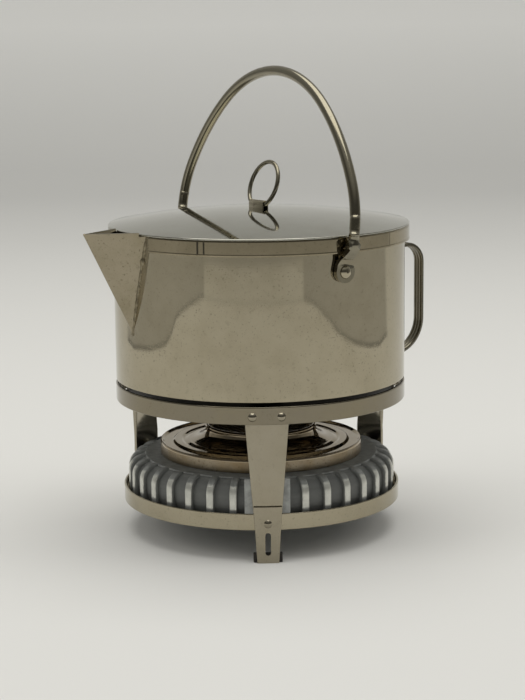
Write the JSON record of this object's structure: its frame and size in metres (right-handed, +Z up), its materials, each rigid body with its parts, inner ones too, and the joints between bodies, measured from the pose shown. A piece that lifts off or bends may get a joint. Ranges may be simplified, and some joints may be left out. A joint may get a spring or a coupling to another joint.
{
  "type": "spirit kettle on stand",
  "caption": "Round travelling kettle with swing bail, folded spout, slip-on lid with a ring, and a three-legged hoop stand holding a ribbed spirit burner.",
  "frame": {"origin": "on the floor, under the middle of the kettle's length and width; the kettle's and the stand's common axis passes through it", "axes": "+Z up; -X towards the spout's tip; +X towards the back handle; the bail swings about a line along Y"},
  "size_m": [0.1793, 0.1466, 0.2071],
  "materials": {
    "nickel_plate": "aged nickel plate on brass, satin with fine scratches and stains",
    "bright_nickel": "polished nickel plate on brass",
    "dark_casting": "dark grey painted casting with bare, worn rib faces",
    "dark_pad": "dark rubber pads, matt",
    "wadding": "packed fibre wadding, matt"
  },
  "bodies": {
    "stand": {"upper_hoop": "nickel_plate", "lower_hoop": "nickel_plate", "leg_right": "nickel_plate", "leg_left": "nickel_plate", "leg_front": "nickel_plate", "foot_right": "nickel_plate", "foot_left": "nickel_plate", "foot_front": "nickel_plate", "hoop_rivets": "bright_nickel", "foot_rivets": "bright_nickel", "foot_pads": "dark_pad", "kettle_rests": "nickel_plate"},
    "burner": {"burner_body": "dark_casting", "burner_base": "dark_casting", "burner_pan": "bright_nickel", "burner_collar": "bright_nickel", "burner_cup": "nickel_plate", "burner_wick": "wadding", "burner_gauze": "nickel_plate"},
    "kettle": {"kettle_wall": "nickel_plate", "kettle_rim": "bright_nickel", "kettle_base": "nickel_plate", "spout": "nickel_plate", "back_handle": "nickel_plate", "bail_studs": "bright_nickel"},
    "bail": {"bail": "nickel_plate", "bail_hooks": "nickel_plate"},
    "lid": {"lid_top": "bright_nickel", "lid_band": "nickel_plate", "ring_strap": "nickel_plate"},
    "ring": {"lid_ring": "nickel_plate"}
  },
  "joints": [
    {"name": "burner_lift", "type": "slide", "parent": "stand", "child": "burner", "axis": [0, 0, 1], "range_m": [0, 0.012]},
    {"name": "kettle_lift", "type": "slide", "parent": "stand", "child": "kettle", "axis": [0, 0, 1], "range_m": [0, 0.04]},
    {"name": "bail_swing", "type": "hinge", "parent": "kettle", "child": "bail", "pos_m": [0, 0, 0.1233], "axis": [0, 1, 0], "range_deg": [-83, 81]},
    {"name": "lid_lift", "type": "slide", "parent": "kettle", "child": "lid", "axis": [0, 0, 1], "range_m": [0, 0.008]},
    {"name": "ring_swing", "type": "hinge", "parent": "lid", "child": "ring", "pos_m": [0, 0, 0.1468], "axis": [0, 1, 0], "range_deg": [-108, 70]}
  ]
}
